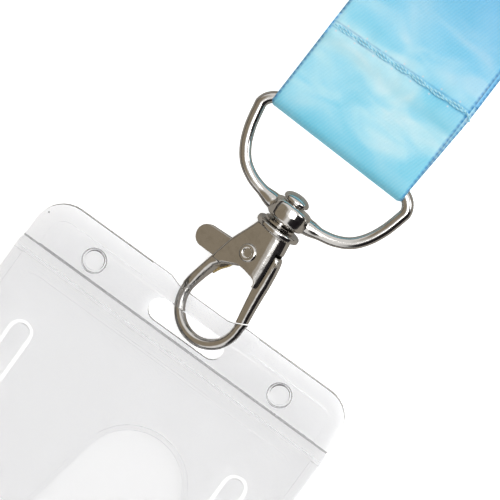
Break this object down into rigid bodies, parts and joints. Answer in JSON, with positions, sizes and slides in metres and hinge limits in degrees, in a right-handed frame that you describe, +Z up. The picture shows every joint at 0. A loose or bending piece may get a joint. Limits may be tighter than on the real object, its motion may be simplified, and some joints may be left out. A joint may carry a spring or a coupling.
{
  "type": "lanyard badge holder",
  "caption": "Satin neck strap with a swivel trigger hook through the slot of a clear rigid card holder, lying flat.",
  "frame": {"origin": "middle of the object's length and width, on the surface it lies on", "axes": "+Y along the object from the holder to the strap, +Z up out of the holder's front, +X to the right"},
  "size_m": [0.0576, 0.251, 0.0128],
  "materials": {
    "clear_plastic": "clear, polished, lightly frosted face",
    "nickel_plate": "polished nickel plate",
    "brass_wire": "drawn wire",
    "satin_ribbon": "satin weave, printed sky blue",
    "sewing_thread": "twisted polyester",
    "elastic_band": "woven elastic"
  },
  "bodies": {
    "strap": {"strap_end_loop": "satin_ribbon", "strap_hank": "satin_ribbon", "hank_tie": "elastic_band", "seam_needle_thread": "sewing_thread", "seam_bobbin_thread": "sewing_thread"},
    "ring": {"swivel_d_ring": "nickel_plate"},
    "hook": {"gate_spring": "brass_wire", "swivel_rivet": "nickel_plate", "swivel_washer": "nickel_plate", "hook_body": "nickel_plate", "pivot_rivet": "nickel_plate"},
    "gate": {"gate_lever": "nickel_plate"},
    "holder": {"rear_shell": "clear_plastic", "front_cover": "clear_plastic", "weld_pin_left": "clear_plastic", "weld_pin_right": "clear_plastic"}
  },
  "joints": [
    {"name": "ring_hinge", "type": "hinge", "parent": "strap", "child": "ring", "pos_m": [0.00259, 0.00318, 0.00524], "axis": [0.9995, -0.0314, 0], "range_deg": [-100, 100]},
    {"name": "hook_swivel", "type": "hinge", "parent": "ring", "child": "hook", "pos_m": [0.00217, -0.01011, 0.00524], "axis": [-0.0035, 0.996, 0.0889], "continuous": true},
    {"name": "gate_hinge", "type": "hinge", "parent": "hook", "child": "gate", "pos_m": [0.00164, -0.01831, 0.00428], "axis": [-0.3743, -0.0837, 0.9235], "range_deg": [-24, 0], "stiffness_Nm_per_rad": 0.03, "springref_deg": 17.19},
    {"name": "holder_swing", "type": "hinge", "parent": "hook", "child": "holder", "pos_m": [0.00141, -0.03051, 0.00308], "axis": [-0.3743, -0.0837, 0.9235], "range_deg": [-22, 8]}
  ]
}
